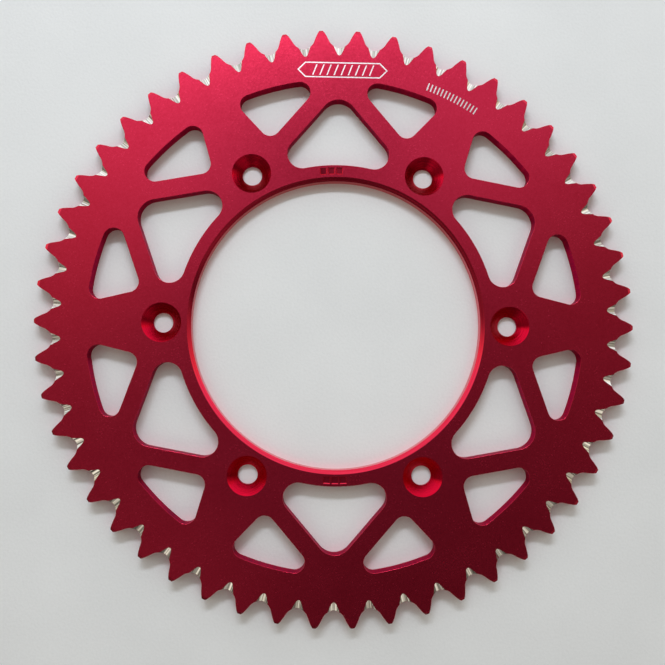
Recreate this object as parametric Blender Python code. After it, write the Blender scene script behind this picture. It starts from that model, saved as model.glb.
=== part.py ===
"""Rear sprocket of an off-road motorcycle: one flat aluminium plate, cut all over.

The plate is a chain wheel with fifty teeth. A large bore pilots it on the wheel's hub, six
countersunk holes take the bolts, and eighteen windows leave a truss between hub and rim. Every
gap between two teeth has a mud groove in the front face, and the tips are bevelled on both faces.

Frame: the origin is on the wheel's axis, on the flat back face that seats on the hub. +Z points
out of the front face, and +X runs through a bolt hole and a tooth tip.
"""

from math import acos, asin, atan2, cos, pi, radians, sin, sqrt, tan

import bmesh
import bpy
from mathutils import Vector

MM = 0.001

# Chain and teeth
TEETH = 50
CHAIN_PITCH = 15.875 * MM
ROLLER_DIAMETER = 10.16 * MM
SEAT_ANGLE = radians(130.0)         # how far a tooth gap wraps the roller that sits in it
FLANK_RADIUS = 30.0 * MM            # the tooth's crowned side, from the seat to the tip
TIP_HEIGHT = 2.75 * MM              # from the pitch circle out to the tips
TIP_WIDTH = 1.56 * MM
TIP_BEVEL_WIDTH = 1.3 * MM
TIP_BEVEL_DEPTH = 0.8 * MM

# Plate and hub fit
PLATE_THICKNESS = 5.8 * MM
BORE_DIAMETER = 125.0 * MM
BORE_CHAMFER = 1.6 * MM
BOLT_COUNT = 6
BOLT_SETBACK = 12.5 * MM            # bolt centres, outwards from the wall of the bore
BOLT_HOLE_DIAMETER = 8.5 * MM
COUNTERSINK_DIAMETER = 17.0 * MM
COUNTERSINK_ANGLE = radians(90.0)

# Windows: a large one midway between two bolts, and a small one on each of its shoulders
HUB_RING_WIDTH = 6.75 * MM          # metal between the bore and a large window
RIM_BAND_WIDTH = 14.3 * MM          # metal between the tooth gaps and a small window
STRUT_WIDTH = 7.5 * MM              # bar between a large window and a small one
BOLT_TO_STRUT = 4.15 * MM           # from a bolt's centre to the line of that bar's inner side
LARGE_PEAK_DROP = 8.9 * MM          # a large window's peak, inwards from the rim band
LARGE_PEAK_RADIUS = 8.0 * MM
LARGE_FOOT_RADIUS = 6.5 * MM
SPOKE_HALF_WIDTH = 15.7 * MM        # from a bolt's centre to the side of its spoke
SPOKE_LEAN = radians(13.8)          # sides of the spoke, from the bolt's centre line
SMALL_CORNER_RADIUS = 4.5 * MM

# Mud grooves: a round-nosed V that falls from the front face into each tooth gap
GROOVE_LENGTH = 3.55 * MM           # from its start to the bottom of the tooth gap
GROOVE_SLOPE = radians(15.0)
GROOVE_NOSE_RADIUS = 2.6 * MM
GROOVE_ANGLE = radians(120.0)       # between the two sides of the V

# How finely round stretches are divided
SEAT_STEPS = 4                      # half a roller seat
FLANK_STEPS = 3
BORE_STEPS = 120
HOLE_STEPS = 32
CORNER_STEPS = 6
ARC_STEPS = 4
NOSE_STEPS = 5

CUT_MARGIN = 0.3 * MM               # how far a cutter runs past the metal that it cuts
WELD_DISTANCE = 0.001 * MM          # points closer than this are one point
SMOOTH_LIMIT = radians(30.0)

PITCH_RADIUS = CHAIN_PITCH / (2 * sin(pi / TEETH))
TOOTH_STEP = 2 * pi / TEETH
ROLLER_RADIUS = ROLLER_DIAMETER / 2
ROOT_RADIUS = PITCH_RADIUS - ROLLER_RADIUS
TIP_RADIUS = PITCH_RADIUS + TIP_HEIGHT
BORE_RADIUS = BORE_DIAMETER / 2
BOLT_CIRCLE_RADIUS = BORE_RADIUS + BOLT_SETBACK
BOLT_STEP = 2 * pi / BOLT_COUNT
LARGE_INNER_RADIUS = BORE_RADIUS + HUB_RING_WIDTH
SMALL_OUTER_RADIUS = ROOT_RADIUS - RIM_BAND_WIDTH
LARGE_PEAK_CENTRE = SMALL_OUTER_RADIUS - LARGE_PEAK_DROP - LARGE_PEAK_RADIUS
GROOVE_START_RADIUS = ROOT_RADIUS - GROOVE_LENGTH
AXIS = Vector((0.0, 0.0))
UP = pi / 2                         # the +Y direction, on which each repeated outline is drawn


# Plane geometry

def polar(radius, angle):
    return Vector((radius * cos(angle), radius * sin(angle)))


def heading(vector):
    return atan2(vector.y, vector.x)


def arc(centre, radius, start, end, steps):
    """Points along an arc, both ends included."""
    return [centre + polar(radius, start + (end - start) * i / steps) for i in range(steps + 1)]


def bulge(start, end, radius, steps):
    """Points along the arc between two points that has its centre on the right of its path."""
    chord = end - start
    rise = sqrt(radius**2 - chord.length_squared / 4)
    centre = (start + end) / 2 - chord.orthogonal().normalized() * rise
    first = heading(start - centre)
    return arc(centre, radius, first, first - 2 * asin(chord.length / radius / 2), steps)


def circle(centre, radius, steps):
    """A closed loop whose points stand clear of the X and Y axes."""
    return [centre + polar(radius, 2 * pi * (i + 0.5) / steps) for i in range(steps)]


def turned(points, angle):
    """The same points, turned about the wheel's axis."""
    return [polar(p.length, heading(p) + angle) for p in points]


def mirrored(points):
    """The same points across the Y axis, in the order that keeps a loop anticlockwise."""
    return [Vector((-p.x, p.y)) for p in reversed(points)]


def both_halves(right):
    """A closed loop from its right half, which runs from one end to the other on the Y axis."""
    return right + mirrored(right)[1:-1]


def corner_of_sides(side, other, radius):
    """Centre of a corner that touches two straight sides, each an outward normal and a reach."""
    normal, other_normal = polar(1.0, side[0]), polar(1.0, other[0])
    reach, other_reach = side[1] - radius, other[1] - radius
    across = normal.cross(other_normal)
    x = (reach * other_normal.y - other_reach * normal.y) / across
    y = (other_reach * normal.x - reach * other_normal.x) / across
    return Vector((x, y))


def corner_on_circle(side, radius, centre_radius, end):
    """Centre of a corner that touches a straight side and lies at its own radius from the axis."""
    normal, reach = polar(1.0, side[0]), side[1] - radius
    along = sqrt(centre_radius**2 - reach**2)
    return normal * reach + normal.orthogonal() * along * end


# Solid shapes

def at_height(points, z):
    return [Vector((p.x, p.y, z)) for p in points]


def loft(mesh, loops, ring=False):
    """Skin a run of equal anticlockwise loops, and cap its ends or join them into a ring."""
    rows = [[mesh.verts.new(point) for point in loop] for loop in loops]
    followers = rows[1:] + rows[:1] if ring else rows[1:]
    for low, high in zip(rows, followers):
        for i in range(len(low)):
            j = (i + 1) % len(low)
            side = mesh.faces.new((low[i], low[j], high[j], high[i]))
            side.smooth = True
    if not ring:
        mesh.faces.new(reversed(rows[0]))
        mesh.faces.new(rows[-1])


def add_object(name, mesh, material):
    data = bpy.data.meshes.new(name)
    mesh.to_mesh(data)
    mesh.free()
    data.set_sharp_from_angle(angle=SMOOTH_LIMIT)
    data.materials.append(material)
    item = bpy.data.objects.new(name, data)
    bpy.context.scene.collection.objects.link(item)
    return item


def cut_away(plate, name, mesh, material):
    """Cut the shapes in a mesh out of the plate, which takes the cutter's finish there."""
    cutter = add_object(name, mesh, material)
    cutter.hide_render = True
    cutter.display_type = "WIRE"
    cut = plate.modifiers.new(name, "BOOLEAN")
    cut.operation = "DIFFERENCE"
    cut.solver = "EXACT"
    cut.material_mode = "TRANSFER"
    cut.use_self = True             # shapes in one cutter may run into each other
    cut.object = cutter


def metal(name, colour, roughness):
    material = bpy.data.materials.new(name)
    material.use_nodes = True
    shader = material.node_tree.nodes["Principled BSDF"]
    shader.inputs["Base Color"].default_value = (*colour, 1.0)
    shader.inputs["Metallic"].default_value = 1.0
    shader.inputs["Roughness"].default_value = roughness
    material.diffuse_color = (*colour, 1.0)
    return material


# Teeth

def tooth_gap():
    """One gap between two teeth, on the Y axis: from the right tip, through the seat, to the left."""
    seat_centre = Vector((0.0, PITCH_RADIUS))
    seat = arc(seat_centre, ROLLER_RADIUS, -UP, SEAT_ANGLE / 2 - UP, SEAT_STEPS)

    tooth_middle = UP - TOOTH_STEP / 2
    corner = polar(TIP_RADIUS, tooth_middle + TIP_WIDTH / TIP_RADIUS / 2)
    flank = bulge(seat[-1], corner, FLANK_RADIUS, FLANK_STEPS)
    outwards = seat + flank[1:] + [polar(TIP_RADIUS, tooth_middle)]
    return outwards[::-1] + mirrored(outwards[::-1])[1:]


def make_blank(material):
    """The full toothed plate, before anything is cut: a rim and a web sector for each tooth gap."""
    right, left = UP - TOOTH_STEP / 2, UP + TOOTH_STEP / 2
    rim_radius = (SMALL_OUTER_RADIUS + GROOVE_START_RADIUS) / 2
    inner_radius = BORE_RADIUS - CUT_MARGIN
    seam = [polar(rim_radius, left), polar(rim_radius, right)]
    rim = tooth_gap() + seam
    web = seam[::-1] + [polar(inner_radius, left), polar(inner_radius, right)]
    mesh = bmesh.new()
    for k in range(TEETH):
        for outline in (rim, web):
            points = at_height(turned(outline, TOOTH_STEP * k), 0.0)
            mesh.faces.new([mesh.verts.new(point) for point in points])
    bmesh.ops.remove_doubles(mesh, verts=mesh.verts, dist=WELD_DISTANCE)

    risen = bmesh.ops.extrude_face_region(mesh, geom=mesh.faces[:])["geom"]
    upper = [item for item in risen if isinstance(item, bmesh.types.BMVert)]
    bmesh.ops.translate(mesh, verts=upper, vec=(0.0, 0.0, PLATE_THICKNESS))
    bmesh.ops.recalc_face_normals(mesh, faces=mesh.faces)
    for face in mesh.faces:
        face.smooth = True
    return add_object("sprocket", mesh, material)


def tip_bevels():
    """Two rings of triangular section, which take the edges off the tips."""
    beyond = 0.5                    # of a bevel's own size, past the metal at both ends
    facet = TOOTH_STEP / 2          # a whole facet of the ring lies across each tip
    reach = TIP_RADIUS / cos(facet / 2)
    inner = reach - (1 + beyond) * TIP_BEVEL_WIDTH
    outer = reach + beyond * TIP_BEVEL_WIDTH
    high = PLATE_THICKNESS + beyond * TIP_BEVEL_DEPTH
    low = PLATE_THICKNESS - (1 + beyond) * TIP_BEVEL_DEPTH
    section = [(inner, high), (outer, low), (outer, high)]
    mirror_image = [(radius, PLATE_THICKNESS - z) for radius, z in reversed(section)]
    mesh = bmesh.new()
    for corners in (section, mirror_image):
        angles = [facet * (i + 0.5) for i in range(2 * TEETH)]
        loops = [at_height([polar(radius, angle) for angle in angles], z) for radius, z in corners]
        loft(mesh, loops, ring=True)
    return mesh


def mud_grooves():
    """A long cutter for each tooth gap, which falls outwards through the front face."""
    half_nose = (pi - GROOVE_ANGLE) / 2
    nose_centre = Vector((0.0, GROOVE_NOSE_RADIUS))
    nose = arc(nose_centre, GROOVE_NOSE_RADIUS, -UP - half_nose, -UP + half_nose, NOSE_STEPS)
    fall = (TIP_RADIUS + CUT_MARGIN - GROOVE_START_RADIUS) * tan(GROOVE_SLOPE)
    top = (fall + CUT_MARGIN) / cos(GROOVE_SLOPE)
    wall = Vector((nose[-1].x + (top - nose[-1].y) * tan(GROOVE_ANGLE / 2), top))
    section = nose + [wall, Vector((-wall.x, top))]

    forwards = Vector((0.0, cos(GROOVE_SLOPE), -sin(GROOVE_SLOPE)))
    upwards = Vector((0.0, sin(GROOVE_SLOPE), cos(GROOVE_SLOPE)))
    start = Vector((0.0, GROOVE_START_RADIUS, PLATE_THICKNESS))
    near = start - forwards * (CUT_MARGIN / sin(GROOVE_SLOPE))
    far = start + forwards * (fall / sin(GROOVE_SLOPE))
    mesh = bmesh.new()
    for k in range(TEETH):
        loops = []
        for end in (far, near):
            points = [end + Vector((p.x, 0.0, 0.0)) + upwards * p.y for p in section]
            flat = turned([p.xy for p in points], TOOTH_STEP * k)
            loops.append([Vector((*spot, p.z)) for spot, p in zip(flat, points)])
        loft(mesh, loops)
    return mesh


# Hub fit

def add_bore(mesh):
    """The bore, and the chamfer around its front edge."""
    chamfer_start = PLATE_THICKNESS - BORE_CHAMFER
    sections = [
        (BORE_RADIUS, -CUT_MARGIN),
        (BORE_RADIUS, chamfer_start),
        (BORE_RADIUS + BORE_CHAMFER + CUT_MARGIN, PLATE_THICKNESS + CUT_MARGIN),
    ]
    loft(mesh, [at_height(circle(AXIS, r, BORE_STEPS), z) for r, z in sections])


def add_bolt_holes(mesh):
    """Straight holes with a countersink in the front face."""
    hole = BOLT_HOLE_DIAMETER / 2
    flare = tan(COUNTERSINK_ANGLE / 2)
    cone_depth = (COUNTERSINK_DIAMETER / 2 - hole) / flare
    cone_top = COUNTERSINK_DIAMETER / 2 + CUT_MARGIN * flare
    sections = [
        (hole, -CUT_MARGIN),
        (hole, PLATE_THICKNESS - cone_depth),
        (cone_top, PLATE_THICKNESS + CUT_MARGIN),
    ]
    for k in range(BOLT_COUNT):
        centre = polar(BOLT_CIRCLE_RADIUS, UP + BOLT_STEP * (k + 0.5))
        loft(mesh, [at_height(circle(centre, r, HOLE_STEPS), z) for r, z in sections])


# Windows

def right_bolt():
    return polar(BOLT_CIRCLE_RADIUS, UP - BOLT_STEP / 2)


def large_side():
    """The right side of a large window, which touches its peak and passes just inside a bolt.

    A side is the direction that it faces, away from the window, and its distance from the axis.
    """
    to_bolt = right_bolt() - Vector((0.0, LARGE_PEAK_CENTRE))
    facing = heading(to_bolt) + acos((LARGE_PEAK_RADIUS + BOLT_TO_STRUT) / to_bolt.length)
    return facing, LARGE_PEAK_CENTRE * sin(facing) + LARGE_PEAK_RADIUS


def large_window():
    """A rounded triangle that points outwards, with its foot curved around the bore."""
    side = large_side()
    foot_centre = corner_on_circle(side, LARGE_FOOT_RADIUS, LARGE_INNER_RADIUS + LARGE_FOOT_RADIUS, 1)
    sill = arc(AXIS, LARGE_INNER_RADIUS, UP, heading(foot_centre), ARC_STEPS)
    foot = arc(foot_centre, LARGE_FOOT_RADIUS, heading(-foot_centre), side[0], CORNER_STEPS)
    peak = arc(Vector((0.0, LARGE_PEAK_CENTRE)), LARGE_PEAK_RADIUS, side[0], UP, CORNER_STEPS // 2)
    return both_halves(sill[:-1] + foot + peak)


def small_window():
    """The rounded triangle on the right shoulder of a large one, between its strut and a spoke."""
    facing, distance = large_side()
    strut = (facing + pi, -(distance + STRUT_WIDTH))
    spoke_facing = -BOLT_STEP / 2 - SPOKE_LEAN
    spoke = (spoke_facing, right_bolt().dot(polar(1.0, spoke_facing)) - SPOKE_HALF_WIDTH)

    radius = SMALL_CORNER_RADIUS
    inner_centre = corner_of_sides(strut, spoke, radius)
    right_centre = corner_on_circle(spoke, radius, SMALL_OUTER_RADIUS - radius, 1)
    left_centre = corner_on_circle(strut, radius, SMALL_OUTER_RADIUS - radius, -1)
    inner = arc(inner_centre, radius, strut[0], spoke_facing + 2 * pi, CORNER_STEPS)
    right = arc(right_centre, radius, spoke_facing, heading(right_centre), CORNER_STEPS)
    lintel = arc(AXIS, SMALL_OUTER_RADIUS, heading(right_centre), heading(left_centre), ARC_STEPS)
    left = arc(left_centre, radius, heading(left_centre), strut[0], CORNER_STEPS)
    return inner + right + lintel[1:-1] + left


def add_windows(mesh):
    right = small_window()
    for outline in (large_window(), right, mirrored(right)):
        for k in range(BOLT_COUNT):
            loop = turned(outline, BOLT_STEP * k)
            ends = -CUT_MARGIN, PLATE_THICKNESS + CUT_MARGIN
            loft(mesh, [at_height(loop, z) for z in ends])


def openings():
    """Everything that is cut right through the plate."""
    mesh = bmesh.new()
    add_bore(mesh)
    add_bolt_holes(mesh)
    add_windows(mesh)
    return mesh


def make_sprocket():
    anodised = metal("red_anodised", (0.42, 0.012, 0.035), 0.38)
    bare = metal("bare_aluminium", (0.80, 0.80, 0.78), 0.25)
    plate = make_blank(anodised)
    cut_away(plate, "cut_openings", openings(), anodised)
    cut_away(plate, "cut_tip_bevels", tip_bevels(), anodised)
    cut_away(plate, "cut_grooves", mud_grooves(), bare)
    seams = plate.modifiers.new("close_seams", "WELD")
    seams.merge_threshold = WELD_DISTANCE


for item in list(bpy.data.objects):
    bpy.data.objects.remove(item, do_unlink=True)
make_sprocket()
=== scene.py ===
# %% [markdown]
# # Rear sprocket of an off-road motorcycle
#
# A rear sprocket is the big chain wheel that a motorcycle's chain pulls round. This one is a single
# plate of aluminium. It was milled from sheet, dyed red by anodising, and its mud grooves were cut
# afterwards, so they show bare metal. The lesson starts from a measured model of the plate, which
# has the right sizes but plain surfaces, and builds the finished piece that a camera can look at.

# %% Load the measured plate
from math import acos, asin, atan2, cos, degrees, pi, radians, sin, sqrt, tan

import bmesh
import bpy
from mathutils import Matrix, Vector


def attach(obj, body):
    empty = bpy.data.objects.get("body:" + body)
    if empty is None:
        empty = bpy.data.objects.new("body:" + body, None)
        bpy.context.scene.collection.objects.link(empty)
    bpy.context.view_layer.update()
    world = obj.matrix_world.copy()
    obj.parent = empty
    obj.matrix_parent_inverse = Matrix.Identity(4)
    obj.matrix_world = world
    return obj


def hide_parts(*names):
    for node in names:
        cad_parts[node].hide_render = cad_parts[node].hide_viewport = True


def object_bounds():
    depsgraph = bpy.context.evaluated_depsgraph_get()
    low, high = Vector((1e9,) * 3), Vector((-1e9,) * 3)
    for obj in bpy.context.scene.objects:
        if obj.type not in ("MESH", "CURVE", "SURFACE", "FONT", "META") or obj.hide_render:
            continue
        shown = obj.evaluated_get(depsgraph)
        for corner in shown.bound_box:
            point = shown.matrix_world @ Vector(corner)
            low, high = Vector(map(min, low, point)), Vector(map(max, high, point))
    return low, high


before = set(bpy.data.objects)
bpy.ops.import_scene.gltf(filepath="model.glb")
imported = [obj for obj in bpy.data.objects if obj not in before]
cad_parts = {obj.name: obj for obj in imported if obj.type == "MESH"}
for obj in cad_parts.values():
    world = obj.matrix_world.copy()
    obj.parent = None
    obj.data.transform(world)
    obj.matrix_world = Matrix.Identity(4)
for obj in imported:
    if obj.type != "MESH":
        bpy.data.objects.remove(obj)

measured_box = [list(corner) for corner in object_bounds()]
MM = 0.001


def in_mm(lengths):
    """Lengths in millimetres, rounded for printing."""
    return [round(length / MM, 2) for length in lengths]


print("pieces of the measured model:", list(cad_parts))
print("its size, mm:", in_mm(high - low for low, high in zip(*measured_box)))

# %% [markdown]
# ## The sizes that the chain sets
#
# A chain wheel is drawn from its chain. The rollers of the chain sit on the pitch circle, one in
# each gap, so the pitch and the number of teeth fix that circle. A gap is the shape of its roller
# with some play, and the sides of a tooth are slightly crowned, so that the chain can lift off.
# Every size is written once, in metres, and all the later shapes are worked out from it.

# %% Sizes of the teeth
teeth = 50
chain_pitch = 15.875 * MM
roller_radius = 5.08 * MM
seat_angle = radians(130)
flank_radius = 30 * MM
tip_height = 2.75 * MM
tip_width = 1.56 * MM

tooth_step = 2 * pi / teeth
pitch_radius = chain_pitch / (2 * sin(tooth_step / 2))
root_radius = pitch_radius - roller_radius
tip_radius = pitch_radius + tip_height
print("radii of root, pitch and tip, mm:", in_mm((root_radius, pitch_radius, tip_radius)))

# %% Sizes of the plate
thickness = 5.8 * MM
bore_radius = 62.5 * MM
bolts = 6
bolt_step = 2 * pi / bolts
bolt_circle = 75 * MM
bolt_hole_radius = 4.25 * MM
print("bore and bolt circle, mm across:", in_mm((2 * bore_radius, 2 * bolt_circle)))

# %% [markdown]
# ## Drawing with a pen
#
# Every edge of the plate is a chain of straight lines and arcs, like a drawing made with ruler and
# compass. Blender has the same two strokes: extruding a single point draws a straight line, and
# spinning it about a centre draws an arc. A pen that starts from a plane merged into one point can
# therefore follow any outline exactly, with as many points on each arc as it needs to look round.

# %% Places and directions given by an angle
def polar(radius, angle):
    return Vector((radius * cos(angle), radius * sin(angle)))


def heading(vector):
    return atan2(vector.y, vector.x)


# %% A pen for outlines
def pen_down(name, x, y, z=0.0):
    """Start a new outline: a plane is merged into a single point, and the pen rests on it."""
    bpy.ops.object.select_all(action="DESELECT")
    bpy.ops.mesh.primitive_plane_add(size=MM, location=(x, y, z))
    outline = bpy.context.object
    outline.name = name
    bpy.ops.object.transform_apply(location=True, rotation=False, scale=False)
    bpy.ops.object.mode_set(mode="EDIT")
    bpy.ops.mesh.select_mode(type="VERT")
    bpy.ops.mesh.select_all(action="SELECT")
    bpy.ops.mesh.merge(type="CENTER")
    return outline


def pen_point():
    mesh = bmesh.from_edit_mesh(bpy.context.object.data)
    return next(point.co.copy() for point in mesh.verts if point.select)


def line_to(x, y, z=0.0):
    stroke = Vector((x, y, z)) - pen_point()
    bpy.ops.mesh.extrude_region_move(TRANSFORM_OT_translate={"value": stroke})


def arc_to(centre, turn, steps):
    """An arc about a centre; a positive turn runs anticlockwise."""
    bpy.ops.mesh.spin(steps=steps, angle=-turn, center=(*centre, 0), axis=(0, 0, 1))


# %% Copies of what is drawn
same_point = 0.002 * MM
about_axis = {"center": (0, 0, 0), "axis": (0, 0, 1)}


def weld():
    """Join the points of a drawing that meet."""
    bpy.ops.mesh.select_all(action="SELECT")
    bpy.ops.mesh.remove_doubles(threshold=same_point)


def copy_round(copies, turn):
    """Copy a drawing around the wheel's axis; a positive turn runs clockwise."""
    bpy.ops.mesh.select_all(action="SELECT")
    bpy.ops.mesh.spin(steps=copies, dupli=True, angle=turn, **about_axis)


def repeat_round(copies):
    """Copy a drawing all the way round, join the ends that meet, and put the pen away."""
    copy_round(copies, 2 * pi)
    weld()
    bpy.ops.object.mode_set(mode="OBJECT")


# %% Modifiers that are applied at once
def apply_modifier(piece, kind, **settings):
    """Add a modifier to the active piece, set it, and apply it at once."""
    bpy.ops.object.modifier_add(type=kind)
    modifier = piece.modifiers[-1]
    for setting, value in settings.items():
        setattr(modifier, setting, value)
    bpy.ops.object.modifier_apply(modifier=modifier.name)


def mirror_across_y(outline):
    """Give an outline its mirror image on the other side of the Y axis."""
    bpy.ops.object.mode_set(mode="OBJECT")
    apply_modifier(outline, "MIRROR")
    bpy.ops.object.mode_set(mode="EDIT")


# %% [markdown]
# ## One tooth gap, fifty times
#
# Only half a gap is drawn. From the bottom of the gap the pen follows the roller's seat, then the
# crowned side of the tooth, and stops in the middle of the tooth's tip. The mirror image makes the
# other half, and fifty copies around the axis close into the whole toothed edge. Working from the
# smallest repeated shape keeps all the teeth equal, and a change to one is a change to all.

# %% Draw the toothed edge
seat_centre = Vector((0, pitch_radius))
seat_end = seat_centre + polar(roller_radius, seat_angle / 2 - pi / 2)
tip_middle = pi / 2 - tooth_step / 2
tip_corner = polar(tip_radius, tip_middle + tip_width / tip_radius / 2)

chord = tip_corner - seat_end
rise = sqrt(flank_radius**2 - chord.length_squared / 4)
flank_centre = (seat_end + tip_corner) / 2 + Vector((chord.y, -chord.x)).normalized() * rise

toothed_edge = pen_down("toothed_edge", 0, root_radius)
arc_to(seat_centre, seat_angle / 2, steps=10)
arc_to(flank_centre, -2 * asin(chord.length / flank_radius / 2), steps=6)
line_to(*polar(tip_radius, tip_middle))
mirror_across_y(toothed_edge)
repeat_round(teeth)
print("points on the toothed edge:", len(toothed_edge.data.vertices))

# %% [markdown]
# ## Windows in the web
#
# The web between hub and rim is cut into a truss, which saves weight and lets mud through. A large
# rounded triangle lies midway between two bolts, and a smaller one on each of its shoulders. Their
# straight sides are offsets of each other, so that the struts between them keep an even width. Each
# corner is an arc that touches both of its neighbours, so its centre is found first and then drawn.

# %% Sizes of the windows
hub_ring_width = 6.75 * MM
rim_band_width = 14.3 * MM
strut_width = 7.5 * MM
bolt_to_strut = 4.15 * MM
large_peak_drop = 8.9 * MM
large_peak_radius = 8 * MM
large_foot_radius = 6.5 * MM
spoke_half_width = 15.7 * MM
spoke_lean = radians(13.8)
small_corner_radius = 4.5 * MM

hub_ring_radius = bore_radius + hub_ring_width
rim_band_radius = root_radius - rim_band_width
large_peak_centre = Vector((0, rim_band_radius - large_peak_drop - large_peak_radius))
right_bolt = polar(bolt_circle, pi / 2 - bolt_step / 2)
print("web from hub ring to rim band, mm:", in_mm((hub_ring_radius, rim_band_radius)))


# %% Find the centre of a corner
def corner_between(side, other, radius):
    """Centre of an arc that touches two straight sides, each given as (facing, distance)."""
    a, b = polar(1, side[0]), polar(1, other[0])
    reach_a, reach_b = side[1] - radius, other[1] - radius
    x = reach_a * b.y - reach_b * a.y
    y = reach_b * a.x - reach_a * b.x
    across = a.x * b.y - a.y * b.x
    return Vector((x / across, y / across))


def corner_on_ring(side, radius, ring_radius, end):
    """Centre of an arc that touches a straight side and lies on a ring around the axis."""
    facing, reach = polar(1, side[0]), side[1] - radius
    along = Vector((-facing.y, facing.x))
    return facing * reach + along * sqrt(ring_radius**2 - reach**2) * end


# %% Draw the large windows
to_bolt = right_bolt - large_peak_centre
strut_facing = heading(to_bolt) + acos((large_peak_radius + bolt_to_strut) / to_bolt.length)
large_side = (strut_facing, large_peak_centre.y * sin(strut_facing) + large_peak_radius)
foot_ring = hub_ring_radius + large_foot_radius
foot_centre = corner_on_ring(large_side, large_foot_radius, foot_ring, 1)
foot_turn = strut_facing - heading(-foot_centre)
side_top = large_peak_centre + polar(large_peak_radius, strut_facing)

large_windows = pen_down("large_windows", 0, hub_ring_radius)
arc_to((0, 0), heading(foot_centre) - pi / 2, steps=12)
arc_to(foot_centre, foot_turn, steps=14)
line_to(*side_top)
arc_to(large_peak_centre, pi / 2 - strut_facing, steps=8)
mirror_across_y(large_windows)
repeat_round(bolts)
print("the sides of the large windows face", round(degrees(strut_facing), 2), "degrees")

# %% Draw the small windows
strut_side = (strut_facing + pi, -(large_side[1] + strut_width))
spoke_facing = -bolt_step / 2 - spoke_lean
spoke_side = (spoke_facing, right_bolt.dot(polar(1, spoke_facing)) - spoke_half_width)
ring = rim_band_radius - small_corner_radius
inner_centre = corner_between(strut_side, spoke_side, small_corner_radius)
right_centre = corner_on_ring(spoke_side, small_corner_radius, ring, 1)
left_centre = corner_on_ring(strut_side, small_corner_radius, ring, -1)
start = inner_centre + polar(small_corner_radius, strut_side[0])

small_windows = pen_down("small_windows", *start)
arc_to(inner_centre, spoke_facing + 2 * pi - strut_side[0], steps=12)
line_to(*(right_centre + polar(small_corner_radius, spoke_facing)))
arc_to(right_centre, heading(right_centre) - spoke_facing, steps=12)
arc_to((0, 0), heading(left_centre) - heading(right_centre), steps=10)
arc_to(left_centre, strut_side[0] - heading(left_centre), steps=12)
line_to(*start)
mirror_across_y(small_windows)
repeat_round(bolts)
print("points on the small windows:", len(small_windows.data.vertices))

# %% Draw the bore and the bolt holes
bore_steps, bolt_hole_steps = 240, 64
bpy.ops.object.select_all(action="DESELECT")
bpy.ops.mesh.primitive_circle_add(vertices=bore_steps, radius=bore_radius)
bore_edge = bpy.context.object

bpy.ops.mesh.primitive_circle_add(
    vertices=bolt_hole_steps, radius=bolt_hole_radius, location=(bolt_circle, 0, 0)
)
bolt_holes = bpy.context.object
bpy.ops.object.transform_apply(location=True, rotation=False, scale=False)
bpy.ops.object.mode_set(mode="EDIT")
repeat_round(bolts)
print("points on the bolt holes:", len(bolt_holes.data.vertices))

# %% [markdown]
# ## From drawing to plate
#
# The outlines are joined into one drawing, and Fill lays a face between them that leaves the holes
# open. Extruding that face gives the plate its thickness. A real milled plate has no razor edges:
# they are tumbled or brushed, and the small round that this leaves catches the light all around
# each window. Three narrow insets, each tilted less than the last, make such a round on both faces.

# %% Fill the drawing and raise the plate
edge_break = 0.08 * MM


def face_outwards():
    """Turn every face of a closed shape to its outside."""
    bpy.ops.mesh.select_all(action="SELECT")
    bpy.ops.mesh.normals_make_consistent(inside=False)


bpy.ops.object.select_all(action="DESELECT")
for drawing in (large_windows, small_windows, bore_edge, bolt_holes, toothed_edge):
    drawing.select_set(True)
bpy.context.view_layer.objects.active = toothed_edge
bpy.ops.object.join()
plate = bpy.context.object
plate.name = plate.data.name = "sprocket_plate"

lift = (0, 0, thickness - 2 * edge_break)
bpy.ops.object.mode_set(mode="EDIT")
bpy.ops.mesh.select_mode(type="EDGE")
bpy.ops.mesh.select_all(action="SELECT")
bpy.ops.mesh.fill(use_beauty=True)
bpy.ops.mesh.select_all(action="SELECT")
bpy.ops.transform.translate(value=(0, 0, edge_break))
bpy.ops.mesh.extrude_region_move(TRANSFORM_OT_translate={"value": lift})
face_outwards()
print("height between the edge rounds, mm:", in_mm(lift)[2])


# %% Choose faces by their place
# A normal is one unit long, so this is how much of it has to point some way, or may at most.
mostly, hardly = 0.9, 0.3


def choose_faces(test):
    """Select only the faces whose middle point and normal pass a test."""
    bpy.ops.mesh.select_all(action="DESELECT")
    bpy.ops.mesh.select_mode(type="FACE")
    mesh = bmesh.from_edit_mesh(bpy.context.object.data)
    for face in mesh.faces:
        face.select_set(bool(test(face.calc_center_median(), face.normal)))
    bmesh.update_edit_mesh(bpy.context.object.data)


# %% Round the edges of both faces
facet_tilts = [radians(tilt) for tilt in (67.5, 45, 22.5)]
facet = edge_break / sum(cos(tilt) for tilt in facet_tilts)
for facing in (1, -1):
    choose_faces(lambda middle, normal: normal.z * facing > mostly)
    for tilt in facet_tilts:
        bpy.ops.mesh.inset(
            thickness=facet * cos(tilt), depth=facet * sin(tilt), use_even_offset=True
        )
bpy.ops.object.mode_set(mode="OBJECT")
print("faces of the plate:", len(plate.data.polygons))
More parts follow.
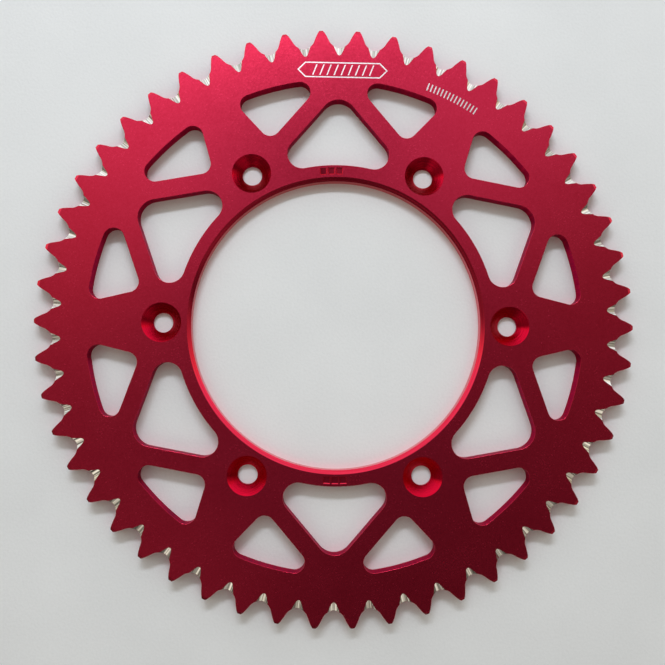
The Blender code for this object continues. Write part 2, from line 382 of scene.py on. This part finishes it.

# %% [markdown]
# ## Finishes come before the cuts
#
# The plate was sawn from sheet, milled, and dyed red by anodising. Only then were the grooves and
# the engraved marks cut, so they lay the silver metal bare. Each way of cutting leaves its own
# surface: the flat faces are matt and the turned cones smoother. The walls are given a darker red.
# In
# Blender a cutter can hand its own material to the faces that it leaves behind, so every finish is
# made first, with its plain values. The grain and the tool marks follow once the plate is cut.

# %% Six finishes
def new_finish(name, colour, roughness, edge_tint=(1, 1, 1)):
    """A metal with a colour seen straight on, and a tint for its reflection at a low angle."""
    finish = bpy.data.materials.new(name)
    finish.use_nodes = True
    surface = finish.node_tree.nodes["Principled BSDF"]
    surface.inputs["Base Color"].default_value = (*colour, 1)
    surface.inputs["Metallic"].default_value = 1.0
    surface.inputs["Roughness"].default_value = roughness
    surface.inputs["Specular Tint"].default_value = (*edge_tint, 1)
    return finish


red_face = new_finish("red_anodised_face", (0.75, 0.029, 0.082), 0.30)
red_wall = new_finish("red_milled_wall", (0.45, 0.015, 0.05), 0.34, edge_tint=(0.72, 0.42, 0.52))
red_turned = new_finish("red_turned", (0.80, 0.028, 0.075), 0.15)
red_countersink = new_finish("red_countersink", (0.69, 0.005, 0.035), 0.18)
bare_groove = new_finish("bare_milled_groove", (0.88, 0.87, 0.84), 0.20)
bare_mark = new_finish("bare_engraved_mark", (0.93, 0.88, 0.87), 0.34)
finishes = (red_face, red_wall, red_turned, red_countersink, bare_groove, bare_mark)
print("finishes:", [finish.name for finish in finishes])


# %% Give the walls and the bore their finishes
def is_wall(middle, normal):
    """Walls are upright, so their normals hardly point up or down."""
    return abs(normal.z) < hardly


def is_bore(middle, normal):
    return is_wall(middle, normal) and middle.to_2d().length < bore_radius + edge_break


for finish in (red_face, red_wall, red_turned):
    plate.data.materials.append(finish)
bpy.ops.object.mode_set(mode="EDIT")
for slot, test in ((1, is_wall), (2, is_bore)):
    choose_faces(test)
    plate.active_material_index = slot
    bpy.ops.object.material_slot_assign()
bpy.ops.object.mode_set(mode="OBJECT")
print("milled wall faces:", sum(face.material_index == 1 for face in plate.data.polygons))

# %% [markdown]
# ## Chamfer and countersinks
#
# The front edge of the bore is chamfered, which guides the plate onto the hub's spigot, and each
# bolt hole is countersunk so that the bolt heads sit flush. Both are cones. A cutter that ended
# exactly in a face of the plate could leave a torn edge, so each cone runs on a little past its cut
# at both ends, in line with its own slope.

# %% A cut is a Boolean that is applied at once
cut_seam = 0.001 * MM


def pick(piece):
    """Make a piece the only selected one, and the active one."""
    bpy.ops.object.select_all(action="DESELECT")
    piece.select_set(True)
    bpy.context.view_layer.objects.active = piece


def cut(cutter, finish):
    """Take a cutter's shape out of the plate, leave its finish there, and throw it away."""
    cutter.data.materials.append(finish)
    pick(plate)
    apply_modifier(
        plate, "BOOLEAN",
        operation="DIFFERENCE", solver="EXACT", material_mode="TRANSFER", object=cutter,
    )
    bpy.data.objects.remove(cutter, do_unlink=True)
    bpy.ops.object.mode_set(mode="EDIT")
    bpy.ops.mesh.select_all(action="SELECT")
    bpy.ops.mesh.remove_doubles(threshold=cut_seam)
    bpy.ops.object.mode_set(mode="OBJECT")


def open_edges(piece):
    """How many edges don't join exactly two faces; a solid piece has none."""
    mesh = bmesh.new()
    mesh.from_mesh(piece.data)
    count = sum(len(edge.link_faces) != 2 for edge in mesh.edges)
    mesh.free()
    return count


# %% A cone to cut with
def cone_cutter(low, high, low_radius, high_radius, steps, centre=(0, 0), turn=0.0):
    """An upright cone between two heights, with its place in its mesh."""
    bpy.ops.object.select_all(action="DESELECT")
    bpy.ops.mesh.primitive_cone_add(
        vertices=steps, radius1=low_radius, radius2=high_radius, depth=high - low,
        location=(*centre, (low + high) / 2), rotation=(0, 0, turn),
    )
    bpy.ops.object.transform_apply(location=True, rotation=True, scale=False)
    return bpy.context.object


# %% Chamfer the bore
bore_chamfer = 1.6 * MM
run_on = 0.5 * MM
bore_cone = cone_cutter(
    low=thickness - bore_chamfer - run_on, low_radius=bore_radius - run_on,
    high=thickness + run_on, high_radius=bore_radius + bore_chamfer + run_on,
    steps=bore_steps,
)
cut(bore_cone, red_turned)
print("open edges after the chamfer:", open_edges(plate))

# %% Countersink the bolt holes
countersink_radius = 8.5 * MM
cone_depth = countersink_radius - bolt_hole_radius
countersinks = cone_cutter(
    low=thickness - cone_depth - run_on, low_radius=bolt_hole_radius - run_on,
    high=thickness + run_on, high_radius=countersink_radius + run_on,
    steps=bolt_hole_steps, centre=(bolt_circle, 0),
)
bpy.ops.object.mode_set(mode="EDIT")
repeat_round(bolts)
cut(countersinks, red_countersink)
print("open edges after the countersinks:", open_edges(plate))

# %% [markdown]
# ## Punch marks
#
# The hub ring is marked too, at the top and at the bottom, with a hammer and a punch before the
# plate is dyed, so such marks stay red inside. This part carries no words there. Three square
# dimples with sloping sides stand in each place, and a cone with four sides is such a punch. One is
# set up, copied twice along the ring, and the row is copied to the other side of the bore.

# %% Punch plain marks into the hub ring
punches, punch_turn, punch_depth = 3, radians(3.0), 0.35 * MM
punch_tip, punch_top, punch_rise = 1.60 * MM, 2.25 * MM, 0.1 * MM
top_row, bottom_row = radians(92.5), radians(270)
punch_circle = (bore_radius + bore_chamfer + hub_ring_radius) / 2
first_punch = top_row + punch_turn * (punches - 1) / 2
punch_marks = cone_cutter(
    low=thickness - punch_depth, low_radius=punch_tip,
    high=thickness + punch_rise, high_radius=punch_top,
    steps=4, centre=polar(punch_circle, first_punch), turn=first_punch - pi / 4,
)
bpy.ops.object.mode_set(mode="EDIT")
copy_round(punches - 1, punch_turn * (punches - 1))
copy_round(1, top_row - bottom_row)
bpy.ops.object.mode_set(mode="OBJECT")
cut(punch_marks, red_turned)
print("open edges after the punch marks:", open_edges(plate))

# %% [markdown]
# ## Bevelled tips
#
# The tips of the teeth are turned down on a lathe, on both faces, so that they slip between the
# side plates of the chain. The lathe's cut is a ring with a small triangle as its section. The
# triangle is drawn with the pen and spun once around the axis, exactly as the tool would run.

# %% A ring to cut with
facets_per_tooth = 4
half_facet = tooth_step / facets_per_tooth / 2


def closed_shape(name, corners):
    """A flat face drawn from corner to corner."""
    shape = pen_down(name, *corners[0])
    for corner in corners[1:]:
        line_to(*corner)
    bpy.ops.mesh.select_all(action="SELECT")
    bpy.ops.mesh.edge_face_add()
    return shape


def turned_ring(name, section):
    """A closed ring around the axis, from the corners of its section as (radius, height)."""
    start = polar(1, tip_middle + half_facet)
    ring_cutter = closed_shape(name, [(*(start * radius), height) for radius, height in section])
    bpy.ops.mesh.select_all(action="SELECT")
    bpy.ops.mesh.spin(steps=facets_per_tooth * teeth, angle=2 * pi, **about_axis)
    weld()
    # The section itself is still inside the ring, where its ends meet, and faces along the turn.
    choose_faces(lambda middle, normal: abs(normal.xy.cross(middle.xy.normalized())) > mostly)
    bpy.ops.mesh.delete(type="FACE")
    face_outwards()
    bpy.ops.object.mode_set(mode="OBJECT")
    return ring_cutter


# %% Turn the tips down
bevel_width, bevel_depth = 1.3 * MM, 0.8 * MM
past_tip = 0.6 * MM
slope = bevel_depth / bevel_width
facet_reach = tip_radius / cos(half_facet)
start_radius, end_radius = facet_reach - bevel_width, facet_reach + past_tip
front_section = [
    (start_radius - run_on, thickness + run_on * slope),
    (end_radius, thickness - (end_radius - start_radius) * slope),
    (end_radius, thickness + run_on * slope),
]
back_section = [(radius, thickness - height) for radius, height in front_section]
cut(turned_ring("front_bevel", front_section), red_turned)
cut(turned_ring("back_bevel", back_section), red_turned)
print("open edges after the bevels:", open_edges(plate))

# %% [markdown]
# ## Mud grooves
#
# In every tooth gap a round-nosed V falls outwards from the front face. Mud that a roller presses
# into the gap squeezes out along it. The grooves are milled last, through the red skin, so they are
# crisp and silver. The V is drawn flat, tilted to the groove's slope, drawn out along it, and the
# finished cutter is copied to all fifty gaps.

# %% Draw the groove's V
groove_length = 3.55 * MM
groove_slope = radians(15)
nose_radius = 2.6 * MM
groove_angle = radians(120)
clearance = 0.3 * MM

half_nose = (pi - groove_angle) / 2
groove_start = root_radius - groove_length
fall = (tip_radius + clearance - groove_start) * tan(groove_slope)
wall_top = fall / cos(groove_slope) + clearance
nose_end = Vector((0, nose_radius)) + polar(nose_radius, half_nose - pi / 2)
wall_x = nose_end.x + (wall_top - nose_end.y) * tan(groove_angle / 2)

groove_cutter = pen_down("groove_cutter", -nose_end.x, nose_end.y)
arc_to((0, nose_radius), 2 * half_nose, steps=8)
line_to(wall_x, wall_top)
line_to(-wall_x, wall_top)
line_to(-nose_end.x, nose_end.y)
weld()
bpy.ops.mesh.select_all(action="SELECT")
bpy.ops.mesh.edge_face_add()
print("width and height of the V, mm:", in_mm((2 * wall_x, wall_top)))

# %% Mill the grooves
# The flat V stands up, leans back by the slope, and moves to just before the groove's start.
uphill = Vector((0, -cos(groove_slope), sin(groove_slope)))
run_in = clearance / sin(groove_slope)
run_out = fall / sin(groove_slope)
draw_out = -uphill * (run_in + run_out)
bpy.ops.mesh.select_all(action="SELECT")
bpy.ops.transform.rotate(
    value=groove_slope - pi / 2, orient_axis="X", center_override=(0, 0, 0)
)
bpy.ops.transform.translate(value=Vector((0, groove_start, thickness)) + uphill * run_in)
bpy.ops.mesh.extrude_region_move(TRANSFORM_OT_translate={"value": draw_out})
copy_round(teeth, 2 * pi)
weld()
face_outwards()
bpy.ops.object.mode_set(mode="OBJECT")
cut(groove_cutter, bare_groove)
print("open edges after the grooves:", open_edges(plate))

# %% [markdown]
# ## Engraved marks
#
# Such plates are engraved in two places of the rim, at the top and to the right of it. This part
# carries nobody's mark, so the places hold plain ones: an empty name plate with a row of slanted
# strokes, and a short scale of ticks that follows the rim. A stroke or a tick is drawn flat, once,
# and copied. Each drawing is then given a little height and cut out of the front face, which leaves
# shallow pockets with a bare silver floor.

# %% An engraver
engraving_depth = 0.06 * MM
line_width = 0.55 * MM


def engrave(drawing):
    """Stand a flat drawing in the front face and cut it out."""
    bpy.ops.mesh.select_all(action="SELECT")
    bpy.ops.transform.translate(value=(0, 0, thickness - engraving_depth))
    bpy.ops.mesh.extrude_region_move(
        TRANSFORM_OT_translate={"value": (0, 0, 2 * engraving_depth)}
    )
    face_outwards()
    bpy.ops.object.mode_set(mode="OBJECT")
    cut(drawing, bare_mark)
    print("open edges after the engraving:", open_edges(plate))


# %% Engrave the empty name plate
badge_centre = Vector((1.5 * MM, 111.3 * MM))
badge_size = Vector((39.6 * MM, 6.9 * MM))
half = badge_size / 2
outline = [(half.x, 0), (half.x - half.y, half.y), (half.y - half.x, half.y)]
outline += [(-x, -y) for x, y in outline]
name_plate = closed_shape("name_plate", [badge_centre + Vector(corner) for corner in outline])
bpy.ops.mesh.select_mode(type="FACE")
bpy.ops.mesh.select_all(action="SELECT")
bpy.ops.mesh.inset(thickness=line_width, depth=0, use_even_offset=True)
bpy.ops.mesh.delete(type="FACE")
engrave(name_plate)

# %% Engrave the slanted strokes in it
strokes, stroke_step, stroke_lean = 9, 3.1 * MM, 1.8 * MM
stroke_height = half.y - 2 * line_width
first_x = -(strokes - 1) / 2 * stroke_step - stroke_lean / 2
foot = badge_centre + Vector((first_x, -stroke_height))
head = foot + Vector((stroke_lean, 2 * stroke_height))
across = Vector((line_width, 0))
badge_strokes = closed_shape("badge_strokes", [foot, foot + across, head + across, head])
for _ in range(strokes - 1):
    bpy.ops.mesh.duplicate_move(TRANSFORM_OT_translate={"value": (stroke_step, 0, 0)})
engrave(badge_strokes)

# %% Engrave the scale of ticks
ticks, tick_turn = 15, radians(0.85)
tick_middle, tick_radius, tick_length = radians(63.6), 111.6 * MM, 3.4 * MM
first_tick = tick_middle + tick_turn * (ticks - 1) / 2
tick_low, tick_high = tick_radius - tick_length / 2, tick_radius + tick_length / 2
left, right = (first_tick + turn * line_width / tick_radius / 2 for turn in (1, -1))
tick_scale = closed_shape("tick_scale", [
    polar(tick_low, left), polar(tick_high, left), polar(tick_high, right), polar(tick_low, right),
])
copy_round(ticks - 1, tick_turn * (ticks - 1))
engrave(tick_scale)
print("faces of the finished plate:", len(plate.data.polygons))

# %% [markdown]
# ## Soft and sharp
#
# Every round here is made of narrow flat facets. Smooth shading hides them, but only within a
# shape: the flat faces must stay flat right up to their edges, and where two cuts meet the edge
# must stay crisp. So edges steeper than 25 degrees stay sharp, the borders of the flat faces are
# marked sharp too, and weighted normals make the large faces win over the narrow ones beside them.

# %% Shade the plate
sharp_angle = radians(25)
level = 0.9999
pick(plate)
bpy.ops.object.mode_set(mode="EDIT")
face_outwards()
bpy.ops.object.mode_set(mode="OBJECT")
bpy.ops.object.shade_smooth_by_angle(angle=sharp_angle)
bpy.ops.object.mode_set(mode="EDIT")
choose_faces(lambda middle, normal: abs(normal.z) > level)
bpy.ops.mesh.region_to_loop()
bpy.ops.mesh.mark_sharp()
bpy.ops.object.mode_set(mode="OBJECT")
apply_modifier(plate, "WEIGHTED_NORMAL", keep_sharp=True)

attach(plate, "root")
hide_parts("sprocket")
triangles = sum(len(face.vertices) - 2 for face in plate.data.polygons)
print("finished plate, mm:", in_mm(plate.dimensions))
print("open edges:", open_edges(plate), "triangles:", triangles)

# %% [markdown]
# ## Grain and tool marks
#
# No surface of a real plate is perfectly even. Blasting before the dye leaves a fine grain, the dye
# takes a little deeper in some places, and every cutter leaves lines that run the way it went. Two
# effects cover all of this, grain and tool marks. Each is a node group that is built once, and each
# finish places it with its own sizes. A group only gives out values that change over the surface;
# the finish decides what they do to its colour, its roughness and its relief.

# %% Helpers for wiring nodes
def wire(tree, value, socket):
    """Link one socket to another, or write a plain value into it."""
    if isinstance(value, bpy.types.NodeSocket):
        tree.links.new(value, socket)
    else:
        socket.default_value = value


def maths(tree, operation, *values):
    node = tree.nodes.new("ShaderNodeMath")
    node.operation = operation
    for value, socket in zip(values, node.inputs):
        wire(tree, value, socket)
    return node.outputs[0]


def weigh(tree, first, first_share, second, second_share):
    """Add two values, each times its share."""
    return maths(
        tree, "MULTIPLY_ADD", first, first_share, maths(tree, "MULTIPLY", second, second_share)
    )


# %% Noise, and how to spread it
def noise(tree, position, scale, detail):
    texture = tree.nodes.new("ShaderNodeTexNoise")
    wire(tree, position, texture.inputs["Vector"])
    wire(tree, scale, texture.inputs["Scale"])
    texture.inputs["Detail"].default_value = detail
    return texture.outputs[0]


def spread(tree, value, gain):
    """Noise keeps close to a half; a gain spreads it out on both sides."""
    return maths(tree, "MULTIPLY_ADD", value, gain, (1 - gain) / 2)


# %% A new effect is a node group
def new_effect(name, inputs, outputs):
    """A shader node group with named inputs and outputs."""
    effect = bpy.data.node_groups.new(name, "ShaderNodeTree")
    for label, (kind, value) in inputs.items():
        socket = effect.interface.new_socket(label, in_out="INPUT", socket_type=kind)
        if value is not None:
            socket.default_value = value
    for label in outputs:
        effect.interface.new_socket(label, in_out="OUTPUT", socket_type="NodeSocketFloat")
    given = effect.nodes.new("NodeGroupInput").outputs
    gives = effect.nodes.new("NodeGroupOutput").inputs
    return effect, given, gives


# %% Grain, for every blasted or frosted finish
grain, given, gives = new_effect("grain", {
    "Position": ("NodeSocketVector", None),
    "Grain Size": ("NodeSocketFloat", 0.8 * MM),
    "Patch Size": ("NodeSocketFloat", 15 * MM),
}, ["Grain", "Patches"])
grain_scale = maths(grain, "DIVIDE", 1.0, given["Grain Size"])
fine = noise(grain, given["Position"], grain_scale, detail=3.0)
patch_scale = maths(grain, "DIVIDE", 1.0, given["Patch Size"])
wide = noise(grain, given["Position"], patch_scale, detail=2.0)
wire(grain, spread(grain, fine, gain=2.2), gives["Grain"])
wire(grain, spread(grain, wide, gain=2.0), gives["Patches"])
print("grain gives:", [socket.name for socket in gives if socket.name])

# %% Tool marks, for whatever was cut
tool_marks, given, gives = new_effect("tool_marks", {
    "Across": ("NodeSocketFloat", 0.0),
    "Along": ("NodeSocketFloat", 0.0),
    "Line Width": ("NodeSocketFloat", 0.3 * MM),
    "Line Length": ("NodeSocketFloat", 8 * MM),
}, ["Lines", "Scratches"])
stretched = tool_marks.nodes.new("ShaderNodeCombineXYZ")
ways = (("Across", "Line Width"), ("Along", "Line Length"))
for (way, unit), socket in zip(ways, stretched.inputs):
    wire(tool_marks, maths(tool_marks, "DIVIDE", given[way], given[unit]), socket)
broad = noise(tool_marks, stretched.outputs[0], scale=0.5, detail=0.0)
thin = noise(tool_marks, stretched.outputs[0], scale=1.5, detail=2.0)
both = weigh(tool_marks, broad, 0.6, thin, 0.4)
wire(tool_marks, spread(tool_marks, both, gain=3.0), gives["Lines"])
wire(tool_marks, spread(tool_marks, thin, gain=4.0), gives["Scratches"])
print("tool marks give:", [socket.name for socket in gives if socket.name])


# %% Lay an effect on a finish
def place_effect(finish, effect, **values):
    """Put a group into a finish; an input is named with _ for the space between its words."""
    node = finish.node_tree.nodes.new("ShaderNodeGroup")
    node.node_tree = effect
    for label, value in values.items():
        wire(finish.node_tree, value, node.inputs[label.replace("_", " ")])
    return node.outputs


def object_place(finish):
    """Where a point lies on the piece."""
    return finish.node_tree.nodes.new("ShaderNodeTexCoord").outputs["Object"]


def object_xyz(finish):
    """Where a point lies on the piece, as three plain values."""
    parts = finish.node_tree.nodes.new("ShaderNodeSeparateXYZ")
    wire(finish.node_tree, object_place(finish), parts.inputs[0])
    return parts.outputs


# %% Let an effect drive a finish
def vary(finish, amount, colours, roughness, relief, depth):
    """One value drives the colour and the roughness of a finish, and another its relief."""
    tree = finish.node_tree
    surface = tree.nodes["Principled BSDF"]
    mix = tree.nodes.new("ShaderNodeMix")
    mix.data_type = "RGBA"
    wire(tree, amount, mix.inputs[0])
    for colour, socket in zip(colours, mix.inputs[6:8]):
        socket.default_value = (*colour, 1)
    wire(tree, mix.outputs[2], surface.inputs["Base Color"])
    smooth_to_rough = tree.nodes.new("ShaderNodeMapRange")
    wire(tree, amount, smooth_to_rough.inputs["Value"])
    for limit, value in zip(("To Min", "To Max"), roughness):
        smooth_to_rough.inputs[limit].default_value = value
    wire(tree, smooth_to_rough.outputs[0], surface.inputs["Roughness"])
    bump = tree.nodes.new("ShaderNodeBump")
    bump.inputs["Distance"].default_value = depth
    wire(tree, relief, bump.inputs["Height"])
    wire(tree, bump.outputs[0], surface.inputs["Normal"])
    print(finish.name, "roughness:", roughness)


# %% [markdown]
# ## The dyed finishes
#
# The dye is clear, so the metal under it still shines through, tinted red. The flat faces are even
# and matt. The walls were cut by the side of an end mill, which leaves upright lines that make
# their colour less even, and they are given a deeper red than the faces. The turned cones are
# smoother, and their rings pull every reflection into a streak across them. A picture of each
# surface would do, but it would have one fixed size. Values worked out from the place on the piece
# stay sharp from any distance.

# %% The red face: blasted, then dyed
effect = place_effect(
    red_face, grain, Position=object_place(red_face), Grain_Size=0.75 * MM, Patch_Size=16 * MM
)
vary(
    red_face, weigh(red_face.node_tree, effect["Patches"], 0.25, effect["Grain"], 0.75),
    colours=((0.68, 0.022, 0.062), (0.82, 0.038, 0.097)), roughness=(0.24, 0.28),
    relief=effect["Grain"], depth=0.002 * MM,
)

# %% The red walls: the side of an end mill leaves upright lines
# The walls run in all directions, and this sum of x and y changes along nearly every one of them.
y_share = 1.37
x, y, z = object_xyz(red_wall)
tree = red_wall.node_tree
sideways = maths(tree, "ADD", x, maths(tree, "MULTIPLY", y, y_share))
effect = place_effect(
    red_wall, tool_marks, Across=sideways, Along=z, Line_Width=0.35 * MM, Line_Length=9 * MM
)
vary(
    red_wall, effect["Lines"],
    colours=((0.32, 0.010, 0.036), (0.58, 0.020, 0.064)), roughness=(0.28, 0.42),
    relief=effect["Scratches"], depth=0.004 * MM,
)


# %% The red cones: a turning tool leaves rings of equal height
def turned_rings(finish, line_width, line_length):
    x, y, z = object_xyz(finish)
    around = maths(finish.node_tree, "ADD", x, y)
    return place_effect(
        finish, tool_marks, Across=z, Along=around, Line_Width=line_width, Line_Length=line_length
    )


effect = turned_rings(red_turned, 0.16 * MM, 12 * MM)
vary(
    red_turned, effect["Lines"],
    colours=((0.70, 0.020, 0.060), (0.86, 0.038, 0.090)), roughness=(0.11, 0.19),
    relief=effect["Scratches"], depth=0.002 * MM,
)

# %% The red countersinks: deeper rings, which draw each light out into a stripe down the cone
effect = turned_rings(red_countersink, 0.12 * MM, 14 * MM)
vary(
    red_countersink, effect["Lines"],
    colours=((0.62, 0.003, 0.028), (0.76, 0.007, 0.042)), roughness=(0.14, 0.22),
    relief=effect["Lines"], depth=0.016 * MM,
)

# %% [markdown]
# ## The bare finishes
#
# Bare aluminium is much brighter than dyed aluminium. The grooves were cut outwards, fast and
# coarsely, and the lines in them follow the cutter. Their light and dark stripes of colour are
# partly those tool marks and partly painted reflection, the bright and dark streaks of a busy room.
# The fifty grooves point in fifty directions, so the place across a line is measured as an angle
# around the axis, which suits every groove alike.
# The engraved floors are too small for lines and look frosted, so they take a finer grain.

# %% The bare grooves: the cutter's lines run outwards along them
x, y, z = object_xyz(bare_groove)
tree = bare_groove.node_tree
round_the_rim = maths(tree, "MULTIPLY", maths(tree, "ARCTAN2", y, x), pitch_radius)
effect = place_effect(
    bare_groove, tool_marks,
    Across=round_the_rim, Along=z, Line_Width=1.10 * MM, Line_Length=12 * MM,
)
# The light and dark colours of these stripes are partly tool marks and partly painted reflection of
# a busy room.
vary(
    bare_groove, effect["Scratches"],
    colours=((0.46, 0.445, 0.40), (1.0, 0.99, 0.96)), roughness=(0.16, 0.10),
    relief=effect["Lines"], depth=0.16 * MM,
)

# %% The engraved marks: a small cutter leaves a frosted floor
effect = place_effect(
    bare_mark, grain, Position=object_place(bare_mark), Grain_Size=0.35 * MM, Patch_Size=5 * MM
)
vary(
    bare_mark, effect["Grain"],
    colours=((0.72, 0.64, 0.64), (0.88, 0.82, 0.81)), roughness=(0.28, 0.42),
    relief=effect["Grain"], depth=0.004 * MM,
)

# %% [markdown]
# ## The table and the window
#
# The plate lies on a pale table, with a long window above and behind it. The table is a plane that
# reaches well past the frame, with a faint grain and faint patches, so that it isn't a flat tone.
# The window is an area light: it gives the edges their glints and the plate its soft shadow.

# %% Lay the table
table_side = 12.0
bpy.ops.object.select_all(action="DESELECT")
bpy.ops.mesh.primitive_plane_add(size=table_side, location=(0, 0, 0))
table = bpy.context.object
table.name = "table"
table_top = bpy.data.materials.new("pale_table")
table_top.use_nodes = True
effect = place_effect(
    table_top, grain, Position=object_place(table_top), Grain_Size=1.1 * MM, Patch_Size=45 * MM
)
vary(
    table_top, weigh(table_top.node_tree, effect["Patches"], 0.6, effect["Grain"], 0.4),
    colours=((0.82, 0.84, 0.85), (0.91, 0.93, 0.94)), roughness=(0.75, 0.85),
    relief=effect["Grain"], depth=0.03 * MM,
)
table.data.materials.append(table_top)

# %% Hang the window light
# The light faces the plate. Its power follows from its size and from how bright it looks.
azimuth, elevation, distance = radians(98), radians(44.5), 0.85
window_width, window_height = 0.48, 0.085
radiance = 22.5
away = Vector((
    cos(elevation) * cos(azimuth), cos(elevation) * sin(azimuth), sin(elevation),
))
bpy.ops.object.light_add(type="AREA", location=away * distance)
window = bpy.context.object
window.name = "window_light"
window.rotation_euler = away.to_track_quat("Z", "Y").to_euler()
window.data.shape = "RECTANGLE"
window.data.size, window.data.size_y = window_width, window_height
window.data.energy = radiance * pi * window_width * window_height
window.data.color = (0.93, 1.0, 1.08)
print("window light, W:", round(window.data.energy, 1))

# %% [markdown]
# ## A painted room
#
# Metal shows little of its own: it shows the room. The room is brightest low down behind the plate,
# which gives the plate's far side a bright sheen and lets the near side fall away into deep red, so
# that one flat face still shows its form. A panorama of a real room is the usual way to do this.
# Here three bands of brightness are enough, one above the other, and each fades into the next. The
# camera itself sees a plain pale backdrop behind the table instead.

# %% Brightness of the room
# Each list goes round the room anticlockwise from +X, in steps of 30 degrees.
horizon = [0.24, 1.50, 4.20, 4.00, 4.20, 2.00, 0.20, 0.12, 0.08, 0.07, 0.10, 0.18]
walls = [0.24, 0.84, 1.90, 2.30, 2.50, 1.70, 0.08, 0.52, 0.86, 0.22, 0.74, 0.60]
ceiling = [0.15, 0.27, 0.76, 0.08, 0.86, 0.56, 0.215, 0.145, 0.19, 0.05, 0.06, 0.07]
overhead = 0.12
daylight, lamplight = (0.94, 1.0, 1.05), (1.10, 1.0, 0.84)
daylit_directions = (2, 3, 4)
backdrop = (0.68, 0.70, 0.69, 1)
print("brightest horizon, wall and ceiling:", max(horizon), max(walls), max(ceiling))

# %% A band of brightness around the room
room = bpy.data.worlds.new("room")
bpy.context.scene.world = room
room.use_nodes = True
paint = room.node_tree


def band(levels, turn_share):
    """A ramp of brightness around the room, which closes on itself at -X."""
    ramp = paint.nodes.new("ShaderNodeValToRGB")
    ramp.color_ramp.interpolation = "CARDINAL"
    stops = ramp.color_ramp.elements
    steps = len(levels)
    for _ in range(steps - 1):
        stops.new(0.5)
    for i in range(steps + 1):
        direction = (i + steps // 2) % steps
        tint = daylight if direction in daylit_directions else lamplight
        stops[i].position = i / steps
        stops[i].color = (*(levels[direction] * share for share in tint), 1)
    wire(paint, turn_share, ramp.inputs[0])
    return ramp.outputs[0]


# %% A soft change from one band to the next
def fade(value, start, end, below, above):
    """Go softly from one colour to another as a value passes through a range."""
    step = paint.nodes.new("ShaderNodeMapRange")
    step.interpolation_type = "SMOOTHSTEP"
    wire(paint, value, step.inputs["Value"])
    step.inputs["From Min"].default_value = start
    step.inputs["From Max"].default_value = end
    mix = paint.nodes.new("ShaderNodeMix")
    mix.data_type = "RGBA"
    wire(paint, step.outputs[0], mix.inputs[0])
    wire(paint, below, mix.inputs[6])
    wire(paint, above, mix.inputs[7])
    return mix.outputs[2]


# %% Paint the room
looking = paint.nodes.new("ShaderNodeSeparateXYZ")
everywhere = paint.nodes.new("ShaderNodeTexCoord").outputs["Generated"]
wire(paint, everywhere, looking.inputs[0])
x, y, up = looking.outputs
turn_share = maths(paint, "MULTIPLY_ADD", maths(paint, "ARCTAN2", y, x), 0.5 / pi, 0.5)

# From the horizon upwards, each band fades into the next between two heights, in degrees.
light = band(horizon, turn_share)
for start, end, above in (
    (16, 30, band(walls, turn_share)),
    (44, 56, band(ceiling, turn_share)),
    (70, 84, (overhead, overhead, overhead, 1)),
):
    light = fade(up, sin(radians(start)), sin(radians(end)), light, above)
seen = paint.nodes.new("ShaderNodeLightPath").outputs["Is Camera Ray"]
light = fade(seen, 0.0, 1.0, light, backdrop)
wire(paint, light, paint.nodes["Background"].inputs["Color"])
print("nodes that paint the room:", len(paint.nodes))

# %% [markdown]
# ## The camera
#
# The plate is seen from almost straight above and fills the frame, so that its whole outline shows.
# A tilt of a few degrees lets a little of the inner walls appear, and that is what tells the eye
# how thick the plate is.

# %% Place the camera
camera_data = bpy.data.cameras.new("camera")
camera = bpy.data.objects.new("camera", camera_data)
bpy.context.scene.collection.objects.link(camera)
camera.location = (-0.00925, -0.01665, 0.30621)
camera.rotation_euler = (radians(2.4778), radians(-1.4621), radians(0.6032))
camera_data.lens = 37.895
camera_data.clip_start = 0.01
bpy.context.scene.camera = camera
bpy.context.scene.view_settings.view_transform = "Standard"
print("camera at, mm:", in_mm(camera.location))
